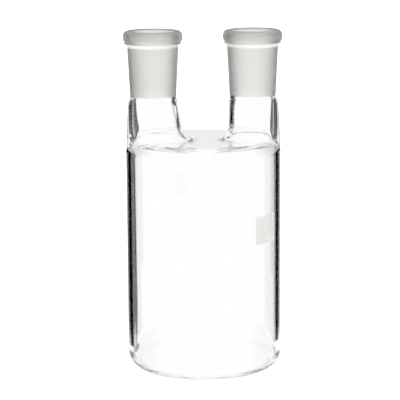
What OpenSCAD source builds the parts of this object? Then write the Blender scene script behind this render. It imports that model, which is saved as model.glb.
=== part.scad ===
// Two-neck flat-bottomed glass bottle with standard-taper ground sockets.
// A cylindrical body carries a flat base with a rounded heel and a flat shoulder with a
// rounded corner. Two short necks stand on the shoulder, one on each side, and each neck
// ends in a tapered ground socket with a rolled bead. Millimetres, +Z up, origin at the
// centre of the base's resting face, necks on the X axis.

/* [Body] */
// Outer diameter of the cylindrical wall
body_od = 100; // [98:1:130]
// Height from the resting face to the flat top of the shoulder
body_h = 150; // [130:5:250]
// Glass thickness of the wall and the shoulder
wall_t = 3; // [2.5:0.1:4]
// Glass thickness of the flat base
base_t = 4; // [3:0.5:6]
// Outer radius of the heel, where the base turns up into the wall
heel_r = 10.5; // [8:0.5:14]
// Outer radius of the shoulder's corner
shoulder_r = 8; // [8:0.5:14]

/* [Necks] */
// Distance between the axes of the two necks
neck_spacing = 64; // [50:1:66]
// Height from the top of the shoulder to the lower end of the ground socket
neck_h = 28; // [24:1:60]
// Glass thickness of the neck tube
neck_t = 2.75; // [2:0.05:3.5]
// Height of the flared root above the shoulder
root_h = 12; // [8:0.5:16]
// How far the root spreads beyond the neck tube where it meets the shoulder
root_spread = 5; // [3:0.5:6]

/* [Ground sockets] */
// Bore diameter at the mouth of the taper (29/42 standard taper)
taper_d = 29.2; // [24:0.1:30]
// Length of the ground taper
taper_len = 42; // [30:1:45]
// Length over which the bore's diameter falls by 1
taper_ratio = 10; // [10:1:12]
// Glass thickness of the ground wall
socket_t = 2.35; // [2:0.05:3]
// Height of the rolled bead
bead_h = 8; // [8:0.5:12]
// Outer diameter of the rolled bead
bead_od = 38.2; // [36:0.1:40]
// Rounding radius of the bead's upper and lower edges
bead_r = 3.2; // [2:0.1:3.5]

/* [Marking patch] */
// Width of the matt marking patch, along the wall
patch_w = 20; // [10:1:40]
// Height of the marking patch
patch_h = 18; // [10:1:26]
// Height of the patch's centre above the resting face
patch_z = 96; // [40:1:100]
// Direction of the patch round the wall, measured from the front (-Y) towards +X
patch_angle = 50; // [0:1:359]
// Thickness of the fired layer, which lies flush with the wall
patch_t = 0.15; // [0.1:0.05:0.3]

/* [Hidden] */
$fn = 96;

// Overshoot that keeps a cutting tool clear of the faces that it passes through
over = 1;
// Extra radius of the root's outer trim beyond the neck tube
trim_clear = 0.35;
// How far the root's lower rim lies inside the glass of the shoulder's corner
root_sink = 0.5;
// Height over which the neck tube steps out below the ground socket
step_h = 3;

body_r = body_od / 2;
inner_r = body_r - wall_t;
heel_in_r = heel_r - wall_t;
shoulder_in_r = shoulder_r - wall_t;

wall_z0 = max(heel_r, base_t + heel_in_r);
wall_z1 = body_h - shoulder_r;
root_z1 = body_h + root_h;
// The root starts halfway down the shoulder's corner, inside the glass
root_z0 = body_h - shoulder_r / 2;
root_trim_low = body_r - shoulder_r + sqrt(pow(shoulder_r, 2) - pow(root_z0 - wall_z1, 2))
    - root_sink;
socket_z0 = body_h + neck_h;

mouth_r = taper_d / 2;
bore_r = (taper_d - taper_len / taper_ratio) / 2;
neck_r = bore_r + neck_t;
root_trim_high = neck_spacing / 2 + neck_r + trim_clear;

clear_glass = [0.86, 0.92, 0.93, 0.35];
ground_glass = [0.83, 0.84, 0.83, 0.85];
matt_enamel = [0.93, 0.93, 0.91];

// Outline of a cylinder of radius r from z0 up to z1, its upper corner rounded to radius c
module domed_half(r, c, z0, z1) {
    if (z1 - c > z0) translate([0, z0]) square([r, z1 - c - z0]);
    translate([0, z0]) square([r - c, z1 - z0]);
    translate([r - c, z1 - c]) intersection() {
        circle(c);
        square(c);
    }
}

// Flat base with a rounded heel, up to the height where the straight wall begins
module base() {
    color(clear_glass)
    rotate_extrude() difference() {
        translate([0, wall_z0]) mirror([0, 1]) domed_half(body_r, heel_r, 0, wall_z0);
        translate([0, wall_z0 + over]) mirror([0, 1])
            domed_half(inner_r, heel_in_r, 0, wall_z0 + over - base_t);
    }
}

// Straight cylindrical wall, cut back where the marking patch is fired in
module body_wall() {
    color(clear_glass)
    difference() {
        translate([0, 0, wall_z0]) cylinder(h = wall_z1 - wall_z0, r = body_r);
        translate([0, 0, wall_z0 - over]) cylinder(h = wall_z1 - wall_z0 + 2 * over, r = inner_r);
        patch_solid(over);
    }
}

// Glass of one neck's root: a cone that spreads onto the shoulder, trimmed in line with the wall
module neck_root(x) {
    intersection() {
        translate([x, 0, root_z0])
            cylinder(h = root_z1 - root_z0, r1 = neck_r + root_spread, r2 = neck_r);
        translate([0, 0, root_z0])
            cylinder(h = root_z1 - root_z0, r1 = root_trim_low, r2 = root_trim_high);
    }
}

// Flat shoulder with a rounded corner, and the two raised roots that the necks are fused to
module shoulder() {
    color(clear_glass)
    difference() {
        union() {
            rotate_extrude() domed_half(body_r, shoulder_r, wall_z1, body_h);
            for (side = [-1, 1]) neck_root(side * neck_spacing / 2);
        }
        rotate_extrude()
            domed_half(inner_r, shoulder_in_r, wall_z1 - over, body_h - wall_t);
        for (side = [-1, 1])
            translate([side * neck_spacing / 2, 0, wall_z1])
                cylinder(h = root_z1 - wall_z1 + over, r = bore_r);
    }
}

// Clear neck tube between the root and the ground socket, about its own axis
module neck_tube() {
    difference() {
        union() {
            translate([0, 0, root_z1]) cylinder(h = socket_z0 - step_h - root_z1, r = neck_r);
            translate([0, 0, socket_z0 - step_h])
                cylinder(h = step_h, r1 = neck_r, r2 = bore_r + socket_t);
        }
        translate([0, 0, root_z1 - over]) cylinder(h = socket_z0 - root_z1 + 2 * over, r = bore_r);
    }
}

module neck_tube_left() {
    color(clear_glass) translate([-neck_spacing / 2, 0, 0]) neck_tube();
}

module neck_tube_right() {
    color(clear_glass) translate([neck_spacing / 2, 0, 0]) neck_tube();
}

// Half section of the rolled bead: two rounded edges joined by a straight side
module bead_half() {
    bead_centre = bead_od / 2 - bead_r;
    for (z = [bead_h - bead_r, bead_r]) translate([bead_centre, z]) circle(bead_r);
    translate([bead_centre - bead_r, bead_r]) square([2 * bead_r, bead_h - 2 * bead_r]);
}

// Tapered ground socket with its bead, about its own axis
module ground_socket() {
    translate([0, 0, socket_z0]) rotate_extrude() difference() {
        union() {
            polygon([[0, 0], [bore_r + socket_t, 0], [mouth_r + socket_t, taper_len],
                     [0, taper_len]]);
            translate([0, taper_len - bead_h]) bead_half();
        }
        polygon([[0, -over], [bore_r, -over], [bore_r, 0], [mouth_r, taper_len],
                 [mouth_r, taper_len + over], [0, taper_len + over]]);
    }
}

module ground_socket_left() {
    color(ground_glass) translate([-neck_spacing / 2, 0, 0]) ground_socket();
}

module ground_socket_right() {
    color(ground_glass) translate([neck_spacing / 2, 0, 0]) ground_socket();
}

// The patch's volume in the wall, reaching `proud` beyond the wall's outer surface
module patch_solid(proud) {
    half_angle = patch_w / body_r * 90 / PI;
    reach = body_r + proud + over;
    rotate([0, 0, patch_angle - 90]) difference() {
        translate([0, 0, patch_z - patch_h / 2]) cylinder(h = patch_h, r = body_r + proud);
        translate([0, 0, patch_z - patch_h / 2 - over])
            cylinder(h = patch_h + 2 * over, r = body_r - patch_t);
        for (side = [-1, 1])
            rotate([0, 0, side * half_angle])
                translate([-reach, side > 0 ? 0 : -reach, patch_z - patch_h / 2 - over])
                    cube([2 * reach, reach, patch_h + 2 * over]);
    }
}

// Matt marking patch, fired into the front of the wall
module marking_patch() {
    color(matt_enamel) patch_solid(0);
}

base();
body_wall();
shoulder();
neck_tube_left();
neck_tube_right();
ground_socket_left();
ground_socket_right();
marking_patch();
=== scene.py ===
import math

import bpy
import bmesh
import numpy as np
from mathutils import Euler, Matrix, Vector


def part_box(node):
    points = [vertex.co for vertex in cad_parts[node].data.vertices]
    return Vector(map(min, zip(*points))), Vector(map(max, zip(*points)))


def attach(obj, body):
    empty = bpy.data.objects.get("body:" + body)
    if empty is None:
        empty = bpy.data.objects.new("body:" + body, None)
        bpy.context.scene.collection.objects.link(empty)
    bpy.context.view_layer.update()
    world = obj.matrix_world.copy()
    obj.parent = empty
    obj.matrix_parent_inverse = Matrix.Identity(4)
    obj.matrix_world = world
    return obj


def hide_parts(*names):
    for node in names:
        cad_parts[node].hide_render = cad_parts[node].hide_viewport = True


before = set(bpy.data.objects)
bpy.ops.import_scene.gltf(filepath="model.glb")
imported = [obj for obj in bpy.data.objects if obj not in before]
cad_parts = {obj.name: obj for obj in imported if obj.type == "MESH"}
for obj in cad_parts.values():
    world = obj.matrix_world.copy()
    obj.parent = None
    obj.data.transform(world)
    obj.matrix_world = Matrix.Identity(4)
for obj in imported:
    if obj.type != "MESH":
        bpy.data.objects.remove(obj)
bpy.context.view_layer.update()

# A two-neck flat-bottomed glass bottle. Metres, +Z up, the base's resting face at z = 0.
# The glass is modelled as the pieces a glassblower fuses. Where two pieces meet, both have a
# seam face with a material that lets light straight through, so the joints don't show.

# ---------------------------------------------------------------- sizes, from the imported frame

MM = 0.001


def corners(node):
    """Lowest and highest corners of a CAD node, as arrays."""
    low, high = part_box(node)
    return np.array(low), np.array(high)


def half_width(node):
    low, high = corners(node)
    return float(high[0] - low[0]) / 2


def axis_x(node):
    low, high = corners(node)
    return float(high[0] + low[0]) / 2


BODY_R = half_width("body_wall")
WALL_Z0 = float(corners("body_wall")[0][2])
WALL_Z1 = float(corners("body_wall")[1][2])
ROOT_Z1 = float(corners("shoulder")[1][2])
SOCKET_Z0 = float(corners("ground_socket_left")[0][2])
RIM_Z = float(corners("ground_socket_left")[1][2])
NECK_X = axis_x("ground_socket_right")
NECK_R = half_width("neck_tube_right")
BEAD_R = half_width("ground_socket_right")

WALL_T = 3 * MM
BASE_T = 4 * MM
HEEL_R = 10.5 * MM            # outer radius of the heel
HEEL_IN_R = 5 * MM            # inner radius of the heel
SHOULDER_R = 8 * MM
SHOULDER_Z = WALL_Z1 + SHOULDER_R
TAPER_LOW_R = 12.5 * MM      # bore of a 29/42 taper at its lower end
TAPER_HIGH_R = 14.6 * MM     # and at its mouth
SOCKET_T = 2.35 * MM
BEAD_H = 8 * MM
BEAD_EDGE_R = 3.2 * MM        # rounding of the bead's upper and lower edges
GROOVE_R = 2.6 * MM           # fillet under the bead
LIP_R = 0.7 * MM              # rounding at the mouth of the bore
PATCH_W = 20 * MM             # width of the marking patch along the wall
PATCH_CORNER = 0.8 * MM
PATCH_GAP = 0.02 * MM         # between the wall and the patch
PATCH_T = 0.06 * MM
INNER_R = BODY_R - WALL_T

SEGMENTS = 256               # points round every turned piece
GLASS, SEAM, GROUND, BEAD, GROOVE = range(5)      # material slots of a piece


# ---------------------------------------------------------------- material helpers

def new_material(name):
    material = bpy.data.materials.new(name)
    material.use_nodes = True
    tree = material.node_tree
    return material, tree, tree.nodes["Principled BSDF"]


def object_noise(tree, scale, detail=2.0, stretch=(1.0, 1.0, 1.0)):
    """Noise in object space, so that it stays put on the piece."""
    coordinates = tree.nodes.new("ShaderNodeTexCoord")
    mapping = tree.nodes.new("ShaderNodeMapping")
    mapping.inputs["Scale"].default_value = stretch
    noise = tree.nodes.new("ShaderNodeTexNoise")
    noise.inputs["Scale"].default_value = scale
    noise.inputs["Detail"].default_value = detail
    tree.links.new(coordinates.outputs["Object"], mapping.inputs["Vector"])
    tree.links.new(mapping.outputs["Vector"], noise.inputs["Vector"])
    return noise


def add_bump(tree, shader, height, strength, distance):
    bump = tree.nodes.new("ShaderNodeBump")
    bump.inputs["Strength"].default_value = strength
    bump.inputs["Distance"].default_value = distance
    tree.links.new(height, bump.inputs["Height"])
    tree.links.new(bump.outputs["Normal"], shader.inputs["Normal"])


def ramp(tree, factor, stops):
    """Colour ramp with stops of (position, colour)."""
    node = tree.nodes.new("ShaderNodeValToRGB")
    elements = node.color_ramp.elements
    elements[0].position, elements[0].color = stops[0]
    elements[1].position, elements[1].color = stops[-1]
    for position, colour in stops[1:-1]:
        elements.new(position).color = colour
    tree.links.new(factor, node.inputs["Fac"])
    return node.outputs["Color"]


def height_share(tree, low, high):
    """0 at the height low on the piece, 1 at the height high."""
    coordinates = tree.nodes.new("ShaderNodeTexCoord")
    split = tree.nodes.new("ShaderNodeSeparateXYZ")
    share = tree.nodes.new("ShaderNodeMapRange")
    share.inputs["From Min"].default_value = low
    share.inputs["From Max"].default_value = high
    tree.links.new(coordinates.outputs["Object"], split.inputs["Vector"])
    tree.links.new(split.outputs["Z"], share.inputs["Value"])
    return share.outputs["Result"]


def grey(value, alpha=1.0):
    return (value, value, value, alpha)


# ---------------------------------------------------------------- materials

def clear_glass_material():
    """Fire-polished borosilicate glass, with faint draw lines along the tube."""
    material, tree, shader = new_material("clear_glass")
    shader.inputs["Roughness"].default_value = 0.0
    shader.inputs["IOR"].default_value = 1.474
    shader.inputs["Transmission Weight"].default_value = 1.0
    waviness = object_noise(tree, scale=60.0, detail=1.0, stretch=(1.0, 1.0, 0.18))
    tint = ramp(tree, waviness.outputs["Fac"],
                [(0.3, (0.985, 0.995, 0.990, 1.0)), (0.7, (1.0, 1.0, 1.0, 1.0))])
    tree.links.new(tint, shader.inputs["Base Color"])
    add_bump(tree, shader, waviness.outputs["Fac"], strength=0.02, distance=0.2 * MM)
    return material


def ground_glass_material():
    """Inner face of a ground socket: evenly abraded, white and translucent."""
    material, tree, shader = new_material("ground_glass")
    shader.inputs["IOR"].default_value = 1.474
    shader.inputs["Transmission Weight"].default_value = 0.92
    grain = object_noise(tree, scale=2600.0, detail=3.0)
    cloud = object_noise(tree, scale=140.0, detail=3.0)
    tint = ramp(tree, cloud.outputs["Fac"],
                [(0.3, (0.95, 0.94, 0.92, 1.0)), (0.7, (1.0, 0.99, 0.965, 1.0))])
    tree.links.new(tint, shader.inputs["Base Color"])
    roughness = ramp(tree, grain.outputs["Fac"], [(0.2, grey(0.30)), (0.8, grey(0.42))])
    tree.links.new(roughness, shader.inputs["Roughness"])
    add_bump(tree, shader, grain.outputs["Fac"], strength=0.5, distance=0.05 * MM)
    return material


def socket_glass_material():
    """Outer face of the sockets, which blurs the ground face behind it."""
    material, tree, shader = new_material("socket_glass")
    shader.inputs["Roughness"].default_value = 0.35
    shader.inputs["IOR"].default_value = 1.474
    shader.inputs["Transmission Weight"].default_value = 1.0
    waviness = object_noise(tree, scale=90.0, detail=1.0, stretch=(1.0, 1.0, 0.4))
    tint = ramp(tree, waviness.outputs["Fac"],
                [(0.3, (0.98, 0.975, 0.95, 1.0)), (0.7, (1.0, 0.995, 0.975, 1.0))])
    tree.links.new(tint, shader.inputs["Base Color"])
    add_bump(tree, shader, waviness.outputs["Fac"], strength=0.01, distance=0.2 * MM)
    return material


def bead_glass_material():
    """Thick rolled bead whose tint greys towards the rim: painted shade for the darker top of the bead.
    """
    material, tree, shader = new_material("bead_glass_painted_shade")
    shader.inputs["IOR"].default_value = 1.474
    shader.inputs["Transmission Weight"].default_value = 1.0
    # Painted shade: the tint runs from near white at the bead's foot to dark grey at the rim, standing
    # in for the shade on the bead's top.
    tint = ramp(tree, height_share(tree, RIM_Z - BEAD_H, RIM_Z),
                [(0.0, (0.96, 0.955, 0.93, 1.0)), (0.6, (0.86, 0.855, 0.835, 1.0)),
                 (1.0, (0.40, 0.40, 0.385, 1.0))])
    tree.links.new(tint, shader.inputs["Base Color"])
    shader.inputs["Roughness"].default_value = 0.35
    waviness = object_noise(tree, scale=90.0, detail=1.0, stretch=(1.0, 1.0, 0.4))
    add_bump(tree, shader, waviness.outputs["Fac"], strength=0.01, distance=0.2 * MM)
    return material


def groove_material():
    """Fire-whitened fillet under the bead, which catches the light from the bench."""
    material, tree, shader = new_material("groove_glass")
    shader.inputs["Roughness"].default_value = 0.4
    shader.inputs["IOR"].default_value = 1.474
    shader.inputs["Transmission Weight"].default_value = 0.5
    cloud = object_noise(tree, scale=160.0, detail=2.0)
    tint = ramp(tree, cloud.outputs["Fac"],
                [(0.3, (0.93, 0.92, 0.90, 1.0)), (0.7, (0.99, 0.985, 0.97, 1.0))])
    tree.links.new(tint, shader.inputs["Base Color"])
    add_bump(tree, shader, cloud.outputs["Fac"], strength=0.05, distance=0.1 * MM)
    return material


def enamel_material():
    """Thin matt off-white fired layer, slightly mottled, that lets some light through."""
    material, tree, shader = new_material("matt_enamel")
    shader.inputs["Transmission Weight"].default_value = 0.6
    cloud = object_noise(tree, scale=220.0, detail=4.0)
    grain = object_noise(tree, scale=2400.0, detail=2.0)
    tint = ramp(tree, cloud.outputs["Fac"],
                [(0.3, (0.985, 0.99, 0.955, 1.0)), (0.7, (1.0, 1.0, 0.975, 1.0))])
    tree.links.new(tint, shader.inputs["Base Color"])
    roughness = ramp(tree, grain.outputs["Fac"], [(0.2, grey(0.55)), (0.8, grey(0.75))])
    tree.links.new(roughness, shader.inputs["Roughness"])
    add_bump(tree, shader, grain.outputs["Fac"], strength=0.4, distance=0.03 * MM)
    return material


def seam_material():
    """Fused joint inside the glass: light goes straight through."""
    material, tree, shader = new_material("fused_seam")
    tree.nodes.remove(shader)
    clear = tree.nodes.new("ShaderNodeBsdfTransparent")
    tree.links.new(clear.outputs["BSDF"], tree.nodes["Material Output"].inputs["Surface"])
    return material


# ---------------------------------------------------------------- mesh helpers

def arc(centre, radius, start, end, steps):
    """Points (r, z) on an arc, angles in degrees, both ends included."""
    angles = np.radians(np.linspace(start, end, steps + 1))
    return [(centre[0] + radius * math.cos(a), centre[1] + radius * math.sin(a)) for a in angles]


def finish_mesh(bm, name, materials):
    bmesh.ops.recalc_face_normals(bm, faces=bm.faces)
    mesh = bpy.data.meshes.new(name)
    bm.to_mesh(mesh)
    bm.free()
    for material in materials:
        mesh.materials.append(material)
    piece = bpy.data.objects.new(name, mesh)
    bpy.context.scene.collection.objects.link(piece)
    return piece


def turned_piece(name, x, outline, materials):
    """Closed solid of revolution about the vertical axis at x.

    outline is a closed loop of runs: (material slot, smooth, points). Each run starts at the
    last point of the run before it.
    """
    bm = bmesh.new()
    turns = [2 * math.pi * k / SEGMENTS for k in range(SEGMENTS)]

    def ring(point):
        r, z = point
        if r < 1e-9:
            return [bm.verts.new((x, 0, z))]
        return [bm.verts.new((x + r * math.cos(a), r * math.sin(a), z)) for a in turns]

    first = outline[0][2][0]
    points = [(None, None, first)]
    for slot, smooth, run in outline:
        points += [(slot, smooth, p) for p in run if p != points[-1][2]]
    closed = math.dist(points[-1][2], first) < 1e-9
    rings = [ring(p) for _, _, p in (points[:-1] if closed else points)]
    if closed:
        rings.append(rings[0])
    for (low, high), (slot, smooth, _) in zip(zip(rings, rings[1:]), points[1:]):
        for k in range(SEGMENTS):
            n = (k + 1) % SEGMENTS
            loop = [low[k % len(low)], low[n % len(low)], high[n % len(high)], high[k % len(high)]]
            loop = list(dict.fromkeys(loop))
            if len(loop) > 2:
                face = bm.faces.new(loop)
                face.material_index = slot
                face.smooth = smooth
    for edge in bm.edges:
        edge.smooth = len({f.material_index == SEAM for f in edge.link_faces}) == 1
    return finish_mesh(bm, name, materials)


# ---------------------------------------------------------------- fused top: shoulder and necks

def smoothstep(low, high, value):
    t = np.clip((value - low) / (high - low), 0, 1)
    return t * t * (3 - 2 * t)


def smooth_union(a, b, k):
    """Union of two distance fields, with a fillet of about the size k."""
    h = np.clip(1 - np.abs(a - b) / k, 0, 1)
    return np.minimum(a, b) - h * h * k / 4


def rounded_cylinder(p, radius, top, edge):
    """Distance field of an upright cylinder with its top edge rounded, endless downwards."""
    across = np.hypot(p[:, 0], p[:, 1]) - (radius - edge)
    up = p[:, 2] - (top - edge)
    outside = np.hypot(np.maximum(across, 0), np.maximum(up, 0))
    return outside + np.minimum(np.maximum(across, up), 0) - edge


# The necks, left and right, as the glassblower left them: how softly each root runs into the
# shoulder, how far the neck widens towards the other neck and away from it, how much thicker
# its glass is at the outer side of the foot, and how far the bore stands off the neck's axis
ROOT_BLEND = {-1: 9 * MM, 1: 8 * MM}
INWARD_FLARE = {-1: 4.8 * MM, 1: 0.8 * MM}
OUTWARD_FLARE = {-1: 2.3 * MM, 1: 2.5 * MM}
FOOT_GLASS = {-1: 1.8 * MM, 1: 1.2 * MM}
BORE_SHIFT = {-1: 0.2 * MM, 1: -0.3 * MM}
ROOT_FOOT = 4 * MM           # how far the neck reaches down into the shoulder
STEP_H = 5 * MM              # height over which the neck narrows to meet the socket


def neck_rise(p):
    """0 at the shoulder's top, 1 at the socket."""
    return np.clip((p[:, 2] - SHOULDER_Z) / (SOCKET_Z0 - SHOULDER_Z), 0, 1)


def neck_flare(p, side, foot_glass=0.0):
    """Extra radius of a neck, which fades out below the socket and is greatest at the foot.

    foot_glass is taken off it at the outer side of the foot.
    """
    turn = np.arctan2(p[:, 1], p[:, 0] - side * NECK_X)
    inward = np.clip(-side * np.cos(turn), 0, 1) ** 2
    outward = np.clip(side * np.cos(turn), 0, 1) ** 2
    drop = 1 - neck_rise(p)
    fade = 1 - smoothstep(SOCKET_Z0 - STEP_H, SOCKET_Z0, p[:, 2])
    return (INWARD_FLARE[side] * inward * drop ** 1.4
            + OUTWARD_FLARE[side] * outward * (0.45 + 0.55 * drop) * fade
            - foot_glass * outward * drop ** 3)


def root_reach(p, side):
    """Size of the fillet at a neck's foot. It dies away where the shoulder turns down."""
    rho = np.hypot(p[:, 0], p[:, 1])
    return ROOT_BLEND[side] * (1 - 0.8 * smoothstep(BODY_R - 9 * MM, BODY_R - 0.5 * MM, rho))


def outer_field(p):
    field = rounded_cylinder(p, BODY_R, SHOULDER_Z, SHOULDER_R)
    for side in (-1, 1):
        narrowing = smoothstep(SOCKET_Z0 - STEP_H, SOCKET_Z0, p[:, 2])
        radius = NECK_R + (TAPER_LOW_R + SOCKET_T - NECK_R) * narrowing
        radius += neck_flare(p, side)
        neck = np.hypot(p[:, 0] - side * NECK_X, p[:, 1]) - radius
        neck = np.maximum(neck, SHOULDER_Z - ROOT_FOOT - p[:, 2])
        field = smooth_union(field, neck, root_reach(p, side))
    return field


def inner_field(p):
    field = rounded_cylinder(p, INNER_R, SHOULDER_Z - WALL_T, SHOULDER_R - WALL_T)
    for side in (-1, 1):
        middle = np.sin(np.pi * neck_rise(p)) ** 2
        radius = TAPER_LOW_R + neck_flare(p, side, FOOT_GLASS[side])
        bore = np.hypot(p[:, 0] - side * NECK_X - BORE_SHIFT[side] * middle, p[:, 1]) - radius
        bore = np.maximum(bore, SHOULDER_Z - WALL_T - ROOT_FOOT - p[:, 2])
        field = smooth_union(field, bore, root_reach(p, side))
    return field


def gradient(field, p, step=0.02 * MM):
    axes = np.eye(3) * step
    return np.stack([field(p + a) - field(p - a) for a in axes], axis=1) / (2 * step)


def surface_of(field, low, high, step):
    """Quad mesh of field = 0 inside a box, with its points moved exactly onto the surface."""
    axes = [np.arange(l, h, step) for l, h in zip(low, high)]
    grid = np.stack(np.meshgrid(*axes, indexing="ij"), axis=-1)
    values = field(grid.reshape(-1, 3)).reshape(grid.shape[:3])
    cells = [n - 1 for n in values.shape]
    offset = np.zeros(cells + [3])
    count = np.zeros(cells)
    crossings = []
    for axis in range(3):
        u, v = [a for a in range(3) if a != axis]
        start = np.take(values, range(0, values.shape[axis] - 1), axis)
        end = np.take(values, range(1, values.shape[axis]), axis)
        crossing = (start < 0) != (end < 0)
        along = np.where(crossing, start / np.where(crossing, start - end, 1), 0)
        crossings.append((axis, u, v, crossing, start < 0))
        for du in (0, 1):
            for dv in (0, 1):
                part = [slice(None)] * 3
                part[u] = slice(du, du + cells[u])
                part[v] = slice(dv, dv + cells[v])
                hit = crossing[tuple(part)]
                count += hit
                offset[..., axis] += hit * along[tuple(part)]
                offset[..., u] += hit * du
                offset[..., v] += hit * dv
    active = count > 0
    index = np.full(cells, -1)
    index[active] = np.arange(active.sum())
    points = np.argwhere(active) + offset[active] / count[active][:, None]
    points = np.array(low) + points * step
    for _ in range(6):
        slope = gradient(field, points)
        points -= slope * (field(points) / np.maximum((slope ** 2).sum(axis=1), 1e-6))[:, None]
    quads = []
    for axis, u, v, crossing, inside in crossings:
        keep = [slice(None)] * 3
        keep[u] = slice(1, cells[u])
        keep[v] = slice(1, cells[v])
        where = np.argwhere(crossing[tuple(keep)])
        where[:, [u, v]] += 1
        corner = []
        for du, dv in ((1, 1), (0, 1), (0, 0), (1, 0)):
            cell = where.copy()
            cell[:, u] -= du
            cell[:, v] -= dv
            corner.append(index[cell[:, 0], cell[:, 1], cell[:, 2]])
        quads.append(np.stack(corner, axis=1))
    return points, np.concatenate(quads)


def cut(bm, z, keep_above):
    """Cut the mesh at a level, drop one side, and close the cut with a flat seam face."""
    geometry = bm.verts[:] + bm.edges[:] + bm.faces[:]
    bmesh.ops.bisect_plane(bm, geom=geometry, dist=1e-7, plane_co=(0, 0, z), plane_no=(0, 0, 1),
                           clear_inner=keep_above, clear_outer=not keep_above)
    rim = [e for e in bm.edges if e.is_boundary and all(abs(v.co.z - z) < 1e-6 for v in e.verts)]
    filled = bmesh.ops.triangle_fill(bm, edges=rim, use_beauty=True)["geom"]
    for item in filled:
        if isinstance(item, bmesh.types.BMFace):
            item.material_index = SEAM
            item.smooth = False


def drop_side(bm, side):
    """Keep only what stands on one side of the middle plane."""
    away = [v for v in bm.verts if v.co.x * side < 0]
    bmesh.ops.delete(bm, geom=away, context="VERTS")


def fused_top_sheets():
    """Outer and inner glass surfaces of the shoulder and necks, a little past both ends."""
    margin = 2 * MM
    step = 0.8 * MM
    low = (-BODY_R - margin, -BODY_R - margin, WALL_Z1 - margin)
    high = (BODY_R + margin, BODY_R + margin, SOCKET_Z0 + margin)
    return [surface_of(field, low, high, step) for field in (outer_field, inner_field)]


def fused_piece(name, sheets, z0, z1, side, materials):
    bm = bmesh.new()
    for points, quads in sheets:
        verts = [bm.verts.new(p) for p in points]
        for quad in quads:
            bm.faces.new([verts[i] for i in quad]).smooth = True
    if side:
        drop_side(bm, side)
    bmesh.ops.recalc_face_normals(bm, faces=bm.faces)
    cut(bm, z0, keep_above=True)
    cut(bm, z1, keep_above=False)
    for edge in bm.edges:
        edge.smooth = len({f.material_index == SEAM for f in edge.link_faces}) == 1
    piece = finish_mesh(bm, name, materials)
    shade_from_field(piece.data)
    return piece


def shade_from_field(mesh):
    """Exact normals from the distance fields, so that the glass refracts without ripples."""
    points = np.zeros(len(mesh.vertices) * 3)
    mesh.vertices.foreach_get("co", points)
    points = points.reshape(-1, 3)
    on_outer = np.abs(outer_field(points)) < np.abs(inner_field(points))
    normals = np.where(on_outer[:, None], gradient(outer_field, points), -gradient(inner_field, points))
    normals /= np.maximum(np.linalg.norm(normals, axis=1), 1e-9)[:, None]
    loops = []
    for face in mesh.polygons:
        for vertex in face.vertices:
            loops.append(face.normal if face.material_index == SEAM else normals[vertex])
    mesh.normals_split_custom_set(loops)


# ---------------------------------------------------------------- pieces

def make_base(materials):
    flat_r = BODY_R - HEEL_R
    floor_r = INNER_R - HEEL_IN_R
    outer = [(0, 0), (flat_r - 2 * MM, 0), *arc((flat_r, HEEL_R), HEEL_R, -90, 0, 24),
             (BODY_R, WALL_Z0)]
    inner = [(INNER_R, WALL_Z0), *arc((floor_r, BASE_T + HEEL_IN_R), HEEL_IN_R, 0, -90, 24),
             (floor_r - 2 * MM, BASE_T), (0, BASE_T)]
    outline = [(GLASS, True, outer), (SEAM, False, [(INNER_R, WALL_Z0)]), (GLASS, True, inner)]
    piece = turned_piece("bottle_base", 0.0, outline, materials)
    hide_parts("base")
    return piece


def make_body_wall(materials):
    heights = np.linspace(WALL_Z0, WALL_Z1, 26)
    outline = [(GLASS, True, [(BODY_R, z) for z in heights]),
               (SEAM, False, [(INNER_R, WALL_Z1)]),
               (GLASS, True, [(INNER_R, z) for z in heights[::-1]]),
               (SEAM, False, [(BODY_R, WALL_Z0)])]
    piece = turned_piece("bottle_wall", 0.0, outline, materials)
    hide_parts("body_wall")
    return piece


def make_shoulder(sheets, materials):
    piece = fused_piece("bottle_shoulder", sheets, WALL_Z1, ROOT_Z1, 0, materials)
    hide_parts("shoulder")
    return piece


def make_neck(name, node, sheets, side, materials):
    piece = fused_piece(name, sheets, ROOT_Z1, SOCKET_Z0, side, materials)
    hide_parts(node)
    return piece


def make_socket(name, node, materials):
    """Socket with a tapered bore, a rolled bead and a groove under the bead."""
    out_low = TAPER_LOW_R + SOCKET_T
    out_high = TAPER_HIGH_R + SOCKET_T
    bead_z = RIM_Z - BEAD_H
    centre_r = BEAD_R - BEAD_EDGE_R
    groove_z = bead_z - GROOVE_R
    wall_at = out_low + (out_high - out_low) * (groove_z - SOCKET_Z0) / (RIM_Z - SOCKET_Z0)
    wall = [(out_low + (wall_at - out_low) * t, SOCKET_Z0 + (groove_z - SOCKET_Z0) * t)
            for t in np.linspace(0, 1, 12)]
    groove = arc((wall_at + GROOVE_R, groove_z), GROOVE_R, 180, 96, 10)
    bead = [*arc((centre_r, bead_z + BEAD_EDGE_R), BEAD_EDGE_R, -64, 0, 12),
            *arc((centre_r, RIM_Z - BEAD_EDGE_R), BEAD_EDGE_R, 0, 90, 16)]
    lip_top = RIM_Z - LIP_R
    lip = arc((TAPER_HIGH_R + LIP_R, lip_top), LIP_R, 90, 180, 8)
    bore = [(TAPER_HIGH_R + (TAPER_LOW_R - TAPER_HIGH_R) * t, lip_top - (lip_top - SOCKET_Z0) * t)
            for t in np.linspace(0, 1, 20)]
    outline = [(GLASS, True, wall), (GROOVE, True, groove), (BEAD, True, bead), (BEAD, True, lip),
               (GROUND, True, bore), (SEAM, False, [(out_low, SOCKET_Z0)])]
    piece = turned_piece(name, axis_x(node), outline, materials)
    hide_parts(node)
    return piece


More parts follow.
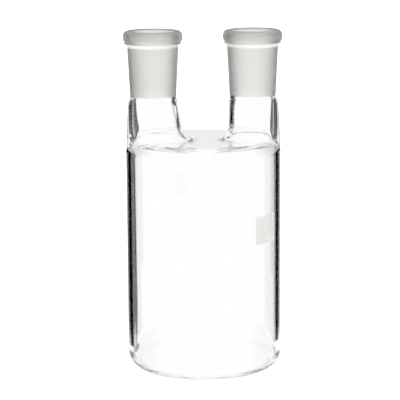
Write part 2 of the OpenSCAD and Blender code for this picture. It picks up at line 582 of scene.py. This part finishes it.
def make_patch(material):
    """Thin curved slab with softly rounded corners, just proud of the wall."""
    patch_low, patch_high = corners("marking_patch")
    centre = (patch_low + patch_high) / 2
    angle = math.atan2(centre[1], centre[0])
    height = float(patch_high[2] - patch_low[2])
    bm = bmesh.new()
    columns = 24
    rows = []
    for u in np.linspace(-1, 1, columns + 1):
        s = u * PATCH_W / 2
        inset = max(abs(s) - (PATCH_W / 2 - PATCH_CORNER), 0)
        half = height / 2 - PATCH_CORNER + math.sqrt(max(PATCH_CORNER ** 2 - inset ** 2, 0))
        ragged = 0.12 * MM * math.sin(7 * u) * math.cos(3 * u)
        a = angle + s / BODY_R
        row = []
        for radius in (BODY_R + PATCH_GAP, BODY_R + PATCH_GAP + PATCH_T):
            for z in (centre[2] - half + ragged, centre[2] + half + ragged):
                row.append(bm.verts.new((radius * math.cos(a), radius * math.sin(a), z)))
        rows.append(row)
    for a, b in zip(rows, rows[1:]):
        bm.faces.new((a[2], b[2], b[3], a[3]))
        bm.faces.new((a[0], a[1], b[1], b[0]))
        bm.faces.new((a[1], a[3], b[3], b[1]))
        bm.faces.new((a[0], b[0], b[2], a[2]))
    bm.faces.new((rows[0][0], rows[0][2], rows[0][3], rows[0][1]))
    bm.faces.new((rows[-1][0], rows[-1][1], rows[-1][3], rows[-1][2]))
    piece = finish_mesh(bm, "marking_patch_layer", [material])
    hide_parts("marking_patch")
    return piece


def ride(piece):
    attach(piece, "root")


def build_bottle():
    clear = clear_glass_material()
    seam = seam_material()
    socket_materials = [socket_glass_material(), seam, ground_glass_material(),
                        bead_glass_material(), groove_material()]
    enamel = enamel_material()
    sheets = fused_top_sheets()
    ride(make_base([clear, seam]))
    ride(make_body_wall([clear, seam]))
    ride(make_shoulder(sheets, [clear, seam]))
    for word, side in (("left", -1), ("right", 1)):
        ride(make_neck(f"bottle_neck_{word}", f"neck_tube_{word}", sheets, side, [clear, seam]))
        ride(make_socket(f"socket_{word}", f"ground_socket_{word}", socket_materials))
    ride(make_patch(enamel))


# ---------------------------------------------------------------- stage

def stage_material(name, value, strength=1.0):
    material, tree, shader = new_material(name)
    shader.inputs["Base Color"].default_value = grey(value)
    shader.inputs["Roughness"].default_value = 1.0
    shader.inputs["Specular IOR Level"].default_value = 0.0
    shader.inputs["Emission Color"].default_value = grey(1.0)
    shader.inputs["Emission Strength"].default_value = strength
    return material


def stage_mesh(name, points, faces, material):
    mesh = bpy.data.meshes.new(name)
    mesh.from_pydata(points, [], faces)
    mesh.materials.append(material)
    item = bpy.data.objects.new(name, mesh)
    bpy.context.scene.collection.objects.link(item)
    return item


CARD_RADIUS = 1.30               # the cards stand on this circle round the bottle
# Heights on that circle that a look meets behind the glass
STEEP_BAND = (-0.90, -0.42)      # from well above
BODY_BAND = (-0.44, -0.04)       # from near the horizon, through the body
NECK_BAND = (-0.04, 0.16)        # the same, through the necks and sockets
HIGH_BAND = (0.22, 1.20)         # what the frosted sockets gather from above
# In the front view: where the dark edges of the body end, and where the necks' cards take over
LEFT_FOOT, LEFT_SPLIT = -0.321, -0.018
RIGHT_FOOT, RIGHT_SPLIT = -0.314, 0.0
FRONT_SIGHT = 87.3               # direction of the front view's line of sight, in degrees
SIGHT_STEP = 45                  # a clear gap stays open for a look from every eighth of a turn
INNER, OUTER = 17, 34            # a plain card's edges, in degrees off a line of sight
CARD_STRIPS = 24
POINT_SHARE = 0.25               # part of a card's width over which its lower edge rises


def bent_light_only(card, reflects):
    """Only light that the glass has bent meets a card, and mirrored light if it reflects."""
    card.visible_camera = False
    card.visible_diffuse = False
    card.visible_glossy = reflects
    card.visible_shadow = False


def mirror_only(card):
    """Only mirrored light meets this card."""
    card.visible_transmission = False
    card.visible_glossy = True


def curved_card(name, sight, inner, outer, band, material, reflects=False, lean=0.0, point=0.0):
    """Upright strip on the card circle, between two angles off a line of sight.

    Its inner edge leans by some degrees towards its foot, and its lower edge rises to a point
    at the inner side.
    """
    low, high = band
    points = []
    for share in np.linspace(0, 1, CARD_STRIPS + 1):
        lift = point * max(0.0, 1 - share / POINT_SHARE)
        for z, first in ((low + lift, inner + lean), (high, inner)):
            turn = math.radians(sight + first + (outer - first) * share)
            points.append((CARD_RADIUS * math.cos(turn), CARD_RADIUS * math.sin(turn), z))
    faces = [(2 * k, 2 * k + 1, 2 * k + 3, 2 * k + 2) for k in range(CARD_STRIPS)]
    card = stage_mesh(name, points, faces, material)
    bent_light_only(card, reflects)
    return card


def unmirrored_material():
    """Black for light that comes straight through the glass, and absent from mirror images."""
    material, tree, shader = new_material("unmirrored_card")
    tree.nodes.remove(shader)
    path = tree.nodes.new("ShaderNodeLightPath")
    choice = tree.nodes.new("ShaderNodeMixShader")
    black = tree.nodes.new("ShaderNodeEmission")
    black.inputs["Strength"].default_value = 0.0
    absent = tree.nodes.new("ShaderNodeBsdfTransparent")
    tree.links.new(path.outputs["Glossy Depth"], choice.inputs["Fac"])
    tree.links.new(black.outputs["Emission"], choice.inputs[1])
    tree.links.new(absent.outputs["BSDF"], choice.inputs[2])
    tree.links.new(choice.outputs["Shader"], tree.nodes["Material Output"].inputs["Surface"])
    return material


def side_cards(unmirrored):
    """Plain cards for a look from the sides and the back."""
    for k in range(1, 360 // SIGHT_STEP - 1):
        sight = FRONT_SIGHT + SIGHT_STEP * k
        curved_card(f"body_card_{k}", sight, INNER, OUTER, BODY_BAND, unmirrored)
        curved_card(f"neck_card_{k}", sight, INNER, OUTER, NECK_BAND, unmirrored)


def sky_card():
    """Pale grey ring overhead, which only mirrors see, so that the flat shoulder shows."""
    pale = stage_material("pale_card", 0.0, 0.68)
    mirror_only(curved_card("sky_card", 0, 0, 360, HIGH_BAND, pale))


def front_cards(black):
    """The front view's own cards, wider, as on a product photographer's table.

    Angles are degrees off the line of sight, positive on the left.
    """
    dim = stage_material("grey_card", 0.0, 0.02)
    left_body = (LEFT_FOOT, LEFT_SPLIT)
    right_body = (RIGHT_FOOT, RIGHT_SPLIT)
    left_neck = (LEFT_SPLIT, NECK_BAND[1])
    right_neck = (RIGHT_SPLIT, NECK_BAND[1])
    sight = FRONT_SIGHT
    curved_card("left_grey_card", sight, 14.8, 17.6, left_body, dim, True, -1.0, 0.05)
    curved_card("left_body_card", sight, 17.6, 50, left_body, black, True, 0.0, 0.03)
    curved_card("right_body_card", sight, -18, -50, right_body, black, True, -3.0, 0.02)
    curved_card("left_neck_card", sight, 17.2, 66, left_neck, black, True)
    curved_card("right_neck_card", sight, -21, -66, right_neck, black, True)
    curved_card("left_flare_card", sight, 50, 58, (-0.30, LEFT_SPLIT), black, True)
    curved_card("right_flare_card", sight, -50, -58, (-0.22, RIGHT_SPLIT), black)
    curved_card("left_high_card", sight, 20, 90, HIGH_BAND, black)
    curved_card("right_high_card", sight, -25, -90, HIGH_BAND, black)


def build_cards():
    """Dark cards that draw the glass's edges."""
    black = stage_material("black_card", 0.0, 0.0)
    for k in (0, 1):
        curved_card(f"steep_card_{k}", FRONT_SIGHT + SIGHT_STEP * k, INNER, OUTER, STEEP_BAND, black)
    side_cards(unmirrored_material())
    front_cards(black)
    sky_card()


def build_stage():
    scene = bpy.context.scene
    world = bpy.data.worlds.new("studio")
    scene.world = world
    world.use_nodes = True
    background = world.node_tree.nodes["Background"]
    background.inputs["Color"].default_value = grey(1.0)
    background.inputs["Strength"].default_value = 1.0
    size = 12.0
    floor = stage_mesh("floor", [(-size, -size, 0), (size, -size, 0), (size, size, 0), (-size, size, 0)],
                       [(0, 1, 2, 3)], stage_material("pale_floor", 0.80, 0.90))
    floor.visible_transmission = False
    floor.visible_glossy = False
    build_cards()
    scene.view_settings.view_transform = "Standard"
    # Light runs a long way inside the glass before it comes out at the base and the shoulder
    scene.cycles.max_bounces = 160
    scene.cycles.glossy_bounces = 128
    scene.cycles.transmission_bounces = 128
    scene.cycles.transparent_max_bounces = 128


def build_camera():
    camera = bpy.data.cameras.new("camera")
    camera.lens = 170.5
    camera.sensor_width = 36.0
    camera.shift_x = -0.0012
    camera.clip_end = 50.0
    holder = bpy.data.objects.new("camera", camera)
    bpy.context.scene.collection.objects.link(holder)
    heading = math.radians(-2.68)
    turn = Matrix.Rotation(heading, 4, "Z")
    place = turn @ Matrix.Translation((-2.07 * MM, -1210.9 * MM, 329.4 * MM))
    tilt = Euler((math.radians(90 - 10.29), 0, 0)).to_matrix().to_4x4()
    roll = Matrix.Rotation(math.radians(-0.39), 4, "Z")
    holder.matrix_world = place @ tilt @ roll
    bpy.context.scene.camera = holder


build_camera()
build_bottle()
build_stage()
